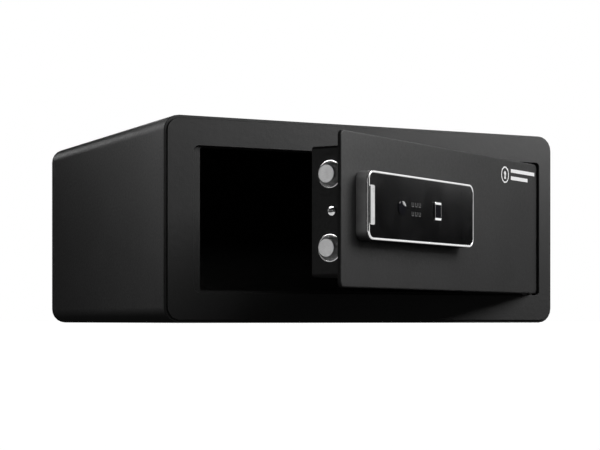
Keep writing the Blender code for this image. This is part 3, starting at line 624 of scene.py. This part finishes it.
def screws(looks):
    """Pan-head screws with a cross recess, on the housing's back and on its end."""
    for number in range(1, 5):
        name = f"housing_screw_{number}"
        low, high = span(name)
        centre = ((low.x + high.x) / 2, 0.0, (low.z + high.z) / 2)
        r, seat, tip = (high.x - low.x) / 2, high.y - 1.6 * MM, high.y
        profile = [(0.0014, low.y), (0.0015, low.y + 0.0002)]
        thread = low.y + 0.0004
        while thread < seat - 0.0012:
            profile += [(0.00150, thread), (0.00122, thread + 0.0002), (0.00150, thread + 0.0004)]
            thread += 0.0005
        profile += [(0.0015, seat), (r - 0.0001, seat), (r, seat + 0.0002), (r, seat + 0.0006)]
        brim = seat + 0.0006
        profile += [(r * math.cos(a), brim + (tip - brim) * math.sin(a)) for a in (0.35, 0.7, 1.0)]
        profile.append((r * 0.30, tip))
        cutter = cross_cutter(centre, "y", tip, 1.0 * MM, 1.75 * MM, 0.42 * MM)
        bm = carve(name, turned(centre, "y", profile, sides=32), cutter)
        make(f"pan_screw_{number}", bm, "door", looks["steel"], replaces=(name,))
    low, high = span("housing_end_screw")
    centre = (0.0, (low.y + high.y) / 2, (low.z + high.z) / 2)
    r, tip = (high.y - low.y) / 2, low.x
    seat = tip + 1.6 * MM
    profile = [(0.0020, high.x), (0.0021, high.x - 0.0003), (0.0021, seat)]
    profile += [(r - 0.0001, seat), (r, seat - 0.0002)]
    brim = seat - 0.0004
    profile += [(r * math.cos(a), brim - (brim - tip) * math.sin(a)) for a in (0.2, 0.5, 0.8, 1.1)]
    profile.append((r * 0.25, tip))
    cutter = cross_cutter(centre, "x", tip, 1.3 * MM, 2.1 * MM, 0.5 * MM)
    bm = carve("end_screw", turned(centre, "x", profile), cutter)
    make("end_screw", bm, "door", looks["chrome"], replaces=("housing_end_screw",))


def bushes(looks):
    """Bright bolt bushes: a rolled rim around a countersunk mouth."""
    for side in ("lower", "upper"):
        name = f"bolt_bush_{side}"
        low, high = span(name)
        centre = (0.0, (low.y + high.y) / 2, (low.z + high.z) / 2)
        r, front = (high.z - low.z) / 2, low.x
        seat, bore = front + 1.2 * MM, r - 3.2 * MM
        profile = [(r - 1.9 * MM, high.x), (r - 1.9 * MM, seat), (r - 0.05 * MM, seat), (r, seat - 0.05 * MM)]
        for step in range(1, 9):
            angle = step / 8 * math.pi * 0.75
            profile.append((r - 0.6 * MM * (1 - math.cos(angle)), front + 0.6 * MM * (1 - math.sin(angle))))
        profile += [(bore + 0.35 * MM, front + 1.9 * MM), (bore, front + 2.2 * MM), (bore, high.x)]
        bm = turned(centre, "x", profile, ring=True, sides=64)
        make(f"bush_rim_{side}", bm, "door", looks["chrome"], replaces=(name,))


def hatch(looks):
    """Battery cover with a ribbed grip."""
    low, high = span("battery_cover")
    xs, zs = (low.x, high.x), (low.z, high.z)
    inner, face = low.y, high.y
    loops = [
        rounded(xs, zs, MM, inner), rounded(xs, zs, MM, face - 0.4 * MM),
        rounded(xs, zs, MM, face - 0.12 * MM, -0.12 * MM), rounded(xs, zs, MM, face, -0.4 * MM),
    ]
    plate = skin(loops)
    cuts = bmesh.new()
    middle = (xs[0] + xs[1]) / 2
    for number in range(7):
        z = zs[0] + 7 * MM + number * 1.7 * MM
        box((middle - 11 * MM, middle + 11 * MM), (face - 0.5 * MM, face + MM), (z, z + 0.9 * MM), bm=cuts)
    bm = carve("hatch", plate, cuts)
    make("battery_hatch", bm, "battery_cover", looks["plastic"], replaces=("battery_cover",),
         bevel=0.00012)


def cells(looks):
    """Battery cells: plain dark sleeve, copper-coloured band, steel ends."""
    for number in range(1, 5):
        name = f"battery_cell_{number}"
        low, high = span(name)
        centre = (0.0, (low.y + high.y) / 2, (low.z + high.z) / 2)
        r = (high.z - low.z) / 2
        flip = number % 2 == 0
        start, end = (high.x, low.x) if flip else (low.x, high.x)
        way = -1.0 if flip else 1.0
        # (radius, distance from the flat end, look from there on)
        stations = [
            (r - 1.6 * MM, 0.0, 2), (r - 1.5 * MM, 0.3 * MM, 2),
            (r - 0.5 * MM, 0.3 * MM, 0), (r, 0.8 * MM, 0),
            (r, 33 * MM, 1), (r, 48.0 * MM, 1), (r - 0.4 * MM, 48.5 * MM, 2), (r - 1.8 * MM, 48.6 * MM, 2),
            (2.7 * MM, 48.9 * MM, 2), (2.6 * MM, 49.6 * MM, 2), (2.3 * MM, 50.0 * MM, 2),
        ]
        profile = [(radius, start + way * along) for radius, along, _ in stations]
        bm = turned(centre, "x", profile, sides=32)
        bm.faces.ensure_lookup_table()
        for face in bm.faces:
            x = way * (face.calc_center_median().x - start)
            face.material_index = 2
            for (r0, a, look), (r1, b, _) in zip(stations, stations[1:]):
                if a - 1e-6 <= x <= b + 1e-6 and len(face.verts) == 4:
                    face.material_index = look
        mats = [looks["cell"], looks["band"], looks["steel"]]
        make(f"cell_{number}", bm, "door", mats, replaces=(name,))


def mat_piece(looks):
    """Felt liner on the safe's floor, its top slightly uneven and its cut edges soft."""
    low, high = span("floor_mat", BODY)
    thick = high.z - low.z
    across, along = 78, 66
    bm = bmesh.new()
    top, under = {}, {}
    for i in range(across + 1):
        for j in range(along + 1):
            x = low.x + (high.x - low.x) * i / across
            y = low.y + (high.y - low.y) * j / along
            edge = min(i, j, across - i, along - j)
            drop = (0.55, 0.12, 0.0)[min(edge, 2)] * MM
            lift = noise.noise(Vector((x, y, 0.0)) * 22.0) * 0.22 * MM - 0.22 * MM
            top[i, j] = bm.verts.new((x, y, low.z + thick + lift - drop))
            under[i, j] = bm.verts.new((x, y, low.z + 0.02 * MM))
    for i in range(across):
        for j in range(along):
            bm.faces.new([top[i, j], top[i + 1, j], top[i + 1, j + 1], top[i, j + 1]])
            bm.faces.new([under[i, j], under[i, j + 1], under[i + 1, j + 1], under[i + 1, j]])
    rim = [(i, 0) for i in range(across)] + [(across, j) for j in range(along)]
    rim += [(i, along) for i in range(across, 0, -1)] + [(0, j) for j in range(along, 0, -1)]
    for here, following in zip(rim, rim[1:] + rim[:1]):
        bm.faces.new([top[here], top[following], under[following], under[here]])
    piece = make("felt_liner", bm, "safe_body", looks["felt"], BODY, ("floor_mat",))


def tab(looks):
    """Polished finger tab on the panel's left end, with a fine grip at each end."""
    low, high = span("chrome_tab")
    xs, zs = (low.x - 0.75 * MM, high.x - 1.1 * MM), (low.z, high.z)
    front, back = low.y, high.y
    loops = [
        rounded(xs, zs, 1.6 * MM, back), rounded(xs, zs, 1.6 * MM, front + 0.35 * MM),
        rounded(xs, zs, 1.6 * MM, front + 0.10 * MM, -0.12 * MM),
        rounded(xs, zs, 1.6 * MM, front, -0.40 * MM),
    ]
    cuts = bmesh.new()
    for end, way in ((zs[0], 1.0), (zs[1], -1.0)):
        for number in range(3):
            z = end + way * (3.2 + 1.3 * number) * MM
            width = (xs[0] + 1.6 * MM, xs[1] - 1.6 * MM)
            box(width, (front - MM, front + 0.25 * MM), (z - 0.2 * MM, z + 0.2 * MM), bm=cuts)
    bm = carve("tab", skin(loops), cuts)
    make("finger_tab", bm, "door", looks["tab"], replaces=("chrome_tab",))


def sensor_rim(looks):
    """Bright frame around the fingerprint window, broad above and below and thin at the sides."""
    low, high = span("sensor_frame")
    glass_low = span("sensor_glass")[0]
    middle = (low.x + high.x) / 2
    front, back = low.y, glass_low.y - 0.01 * MM
    xs, zs = (middle - 5.9 * MM, middle + 5.9 * MM), (low.z, high.z)
    hole_x, hole_z = (xs[0] + 0.6 * MM, xs[1] - 0.6 * MM), (zs[0] + 2.2 * MM, zs[1] - 2.2 * MM)
    loops = [
        rounded(xs, zs, MM, back), rounded(xs, zs, MM, front + 0.3 * MM),
        rounded(xs, zs, MM, front + 0.08 * MM, -0.10 * MM), rounded(xs, zs, MM, front, -0.30 * MM),
        rounded(hole_x, hole_z, 0.4 * MM, front, 0.12 * MM),
        rounded(hole_x, hole_z, 0.4 * MM, front + 0.12 * MM),
        rounded(hole_x, hole_z, 0.4 * MM, back),
    ]
    make("sensor_rim", skin(loops, ring=True), "door", looks["chrome"], replaces=("sensor_frame",))


def disc(centre, axis_y, outer, inner=0.0):
    """Thin printed disc facing Y at (x, z), or a ring when it has an inner radius."""
    near, far = axis_y - 0.05 * MM, axis_y - 0.005 * MM
    profile = [(outer, near), (outer, far)]
    if inner:
        profile += [(inner, far), (inner, near)]
    return turned((centre[0], 0.0, centre[1]), "y", profile, ring=bool(inner), sides=48 if inner else 32)


def joined(parts):
    """One bmesh made of several, each with its faces turned outward."""
    whole = bmesh.new()
    for part in parts:
        bmesh.ops.recalc_face_normals(part, faces=part.faces)
        mesh = bpy.data.meshes.new("part")
        part.to_mesh(mesh)
        part.free()
        whole.from_mesh(mesh)
        bpy.data.meshes.remove(mesh)
    return whole


MARKS_LEFT = 39.0 * MM              # from the marks' left end to the window's frame
BADGE_X, BADGE_Z = 307 * MM, 0.1495  # badge's centre: from the door plate's left edge, and above the floor


def panel_marks(looks):
    """Two rows of small open marks beside the fingerprint window."""
    face = span("face_panel")[0].y
    depth = (face - 0.03 * MM, face - 0.005 * MM)
    window = span("sensor_frame")[0]
    stroke, width = 0.7 * MM, 3.8 * MM
    bm = bmesh.new()
    for row in range(2):
        for column in range(3):
            x = window.x - MARKS_LEFT + column * 6.2 * MM
            z = window.z + 1.8 * MM + row * 8.2 * MM
            box((x, x + width), depth, (z, z + stroke), bm=bm)
            for left in (x, x + width - stroke):
                box((left, left + stroke), depth, (z + 1.2 * MM, z + 3.8 * MM), bm=bm)
    make("panel_marks", bm, "door", looks["grey_ink"])


def badge(looks):
    """Generic badge near the door's top right corner: a keyhole in a ring, and two bars."""
    plate = span("door_plate")[0]
    x, y, z = plate.x + BADGE_X, plate.y, BADGE_Z
    slant = [(-0.9, 0.4), (-2.0, -4.2), (2.0, -4.2), (0.9, 0.4)]
    foot = [[(x + a * MM, y - depth, z + b * MM) for a, b in slant] for depth in (0.055 * MM, 0.006 * MM)]
    parts = [disc((x, z), y, 8.4 * MM, 6.9 * MM), disc((x, z + 1.4 * MM), y, 2.3 * MM), skin(foot)]
    for number, length in enumerate((54.0, 38.0)):
        low = z + (3.2 - 7.4 * number) * MM
        bar = (x + 13.0 * MM, x + (13.0 + length) * MM)
        parts.append(box(bar, (y - 0.05 * MM, y - 0.005 * MM), (low, low + 3.6 * MM)))
    make("door_badge", joined(parts), "door", looks["white_ink"])


# ---------------------------------------------------------------- scene
bpy.context.scene.view_settings.view_transform = "Standard"
make_camera()
for name, setting in SOFTBOXES.items():
    softbox(name, *setting)
make_world()
make_floor()
looks = {
    # The second powder coat is the first darkened to 0.65: painted shade on the bolt housing's end.
    "coat": powder_coat(), "shaded_coat": powder_coat("shaded_coat", 0.65),
    "steel": zinc(), "satin": satin_steel(), "brass": brass(),
    "chrome": polished(), "tab": polished("tab_chrome", 0.68),
    "gloss": gloss_panel(), "glass": dark_glass(),
    # The base plastic is several times lighter than the moulded plastic: painted light on the module's side
    # wall.
    "plastic": moulded(), "base": moulded("lit_base_plastic", 0.10, 0.13),
    "felt": felt(), "board": circuit_board(), "wire": insulation(),
    "cell": cell_sleeve(), "band": copper_band(),
    "grey_ink": print_ink("grey_ink", 0.17), "white_ink": print_ink("white_ink", 0.80),
}
finish_nodes(looks)
bezel(looks)
screws(looks)
bushes(looks)
hatch(looks)
cells(looks)
mat_piece(looks)
tab(looks)
sensor_rim(looks)
panel_marks(looks)
badge(looks)
make_cards()
